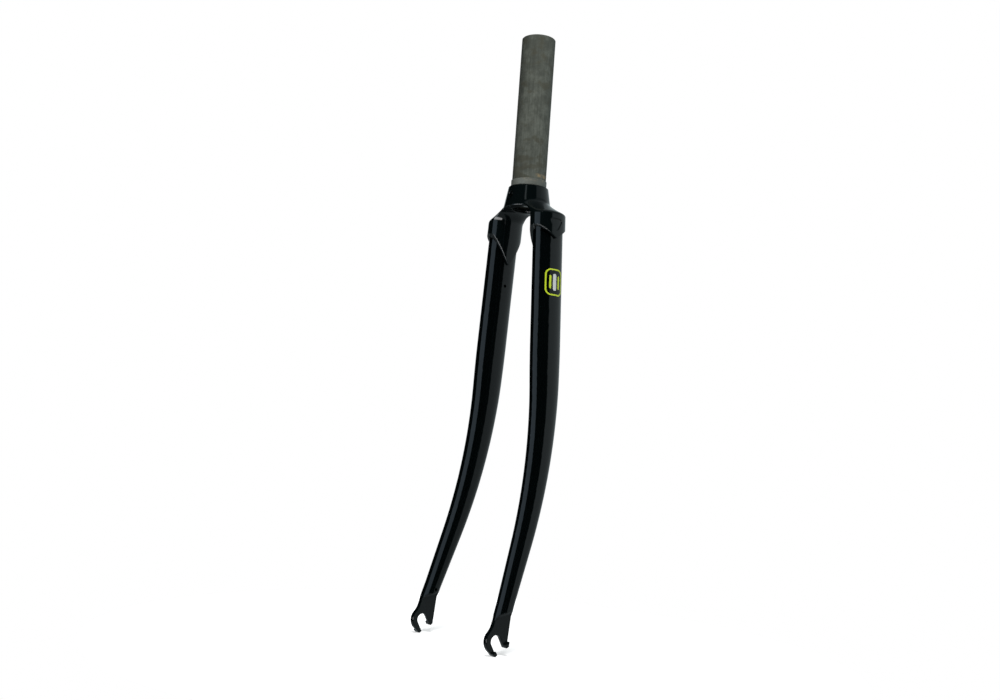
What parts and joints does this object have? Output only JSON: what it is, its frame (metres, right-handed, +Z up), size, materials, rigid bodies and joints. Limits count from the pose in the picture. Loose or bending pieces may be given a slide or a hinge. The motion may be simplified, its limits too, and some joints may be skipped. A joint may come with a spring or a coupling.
{
  "type": "rigid bicycle fork",
  "caption": "Rigid road bicycle fork: straight steerer tube, cast crown with pointed sockets, raked tapered blades and slotted fork ends.",
  "frame": {"origin": "where the steerer axis meets the crown race plane, at the foot of the crown race seat", "axes": "+Z up the steerer axis, -Y the riding direction in which the blades rake, +X the rider's left"},
  "size_m": [0.117, 0.0699, 0.5061],
  "materials": {
    "bare_steel": "raw mill finish",
    "black_paint": "gloss"
  },
  "bodies": {
    "root": {"steerer_tube": "bare_steel", "fork_crown": "black_paint", "left_blade": "black_paint", "right_blade": "black_paint", "left_fork_end": "black_paint", "right_fork_end": "black_paint"}
  },
  "joints": []
}
